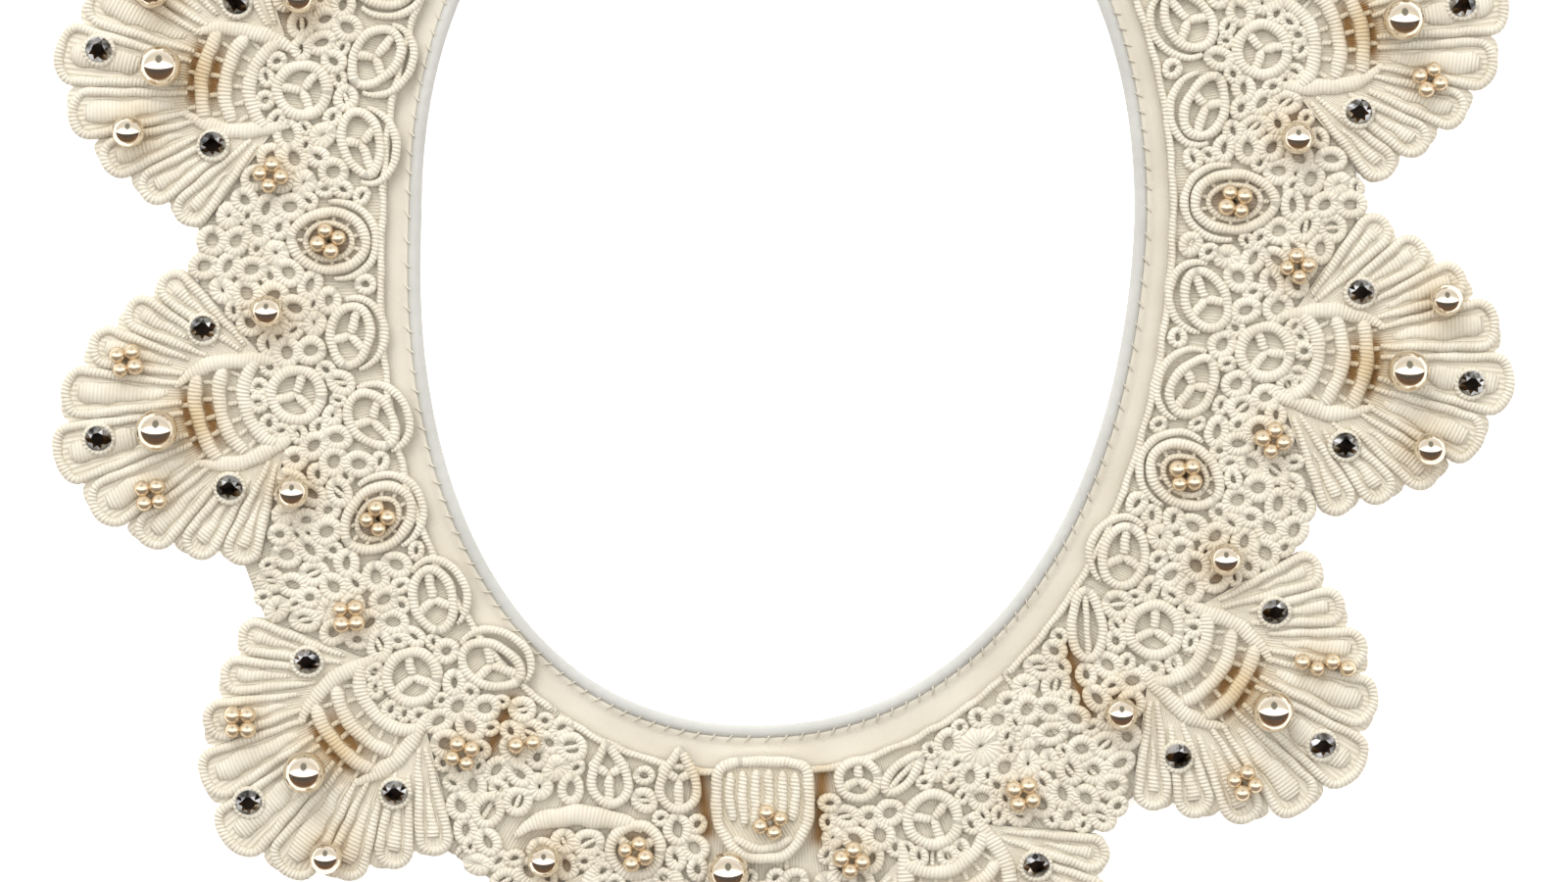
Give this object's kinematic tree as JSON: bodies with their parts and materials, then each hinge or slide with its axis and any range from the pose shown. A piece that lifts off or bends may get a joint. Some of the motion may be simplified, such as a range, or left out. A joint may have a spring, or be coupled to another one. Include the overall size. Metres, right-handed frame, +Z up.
{
  "type": "lace collar",
  "caption": "Round costume collar of cream corded lace with scalloped fans, pearls and dark stones on a plain cloth ground, open at the centre back, laid flat.",
  "frame": {"origin": "middle of the collar's bounding box at the surface it lies on", "axes": "+Z up from the surface, +Y from the front of the collar to its back opening, +X to the right as seen from above with the back opening at the top"},
  "size_m": [0.2208, 0.2532, 0.0098],
  "materials": {
    "ground_cotton": "plain cream cotton, matt",
    "binding_cotton": "rolled cotton binding, matt",
    "corded_lace": "ecru corded lace with satin stitch, soft sheen",
    "pearl": "champagne imitation pearl, glossy",
    "dark_stone": "dark faceted glass stone, mirror bright"
  },
  "bodies": {
    "root": {"ground_cloth": "ground_cotton", "neck_binding": "binding_cotton", "lace_left": "corded_lace", "lace_right": "corded_lace", "lace_front_left": "corded_lace", "lace_front_right": "corded_lace", "centre_motif": "corded_lace", "pearl_left_1": "pearl", "pearl_left_2": "pearl", "pearl_left_3": "pearl", "pearl_left_4": "pearl", "pearl_left_5": "pearl", "pearl_front_left": "pearl", "pearl_front_right": "pearl", "pearl_right_5": "pearl", "pearl_right_4": "pearl", "pearl_right_3": "pearl", "pearl_right_2": "pearl", "pearl_right_1": "pearl", "pearl_front_side": "pearl", "back_button": "pearl", "back_loop": "corded_lace"}
  },
  "joints": []
}
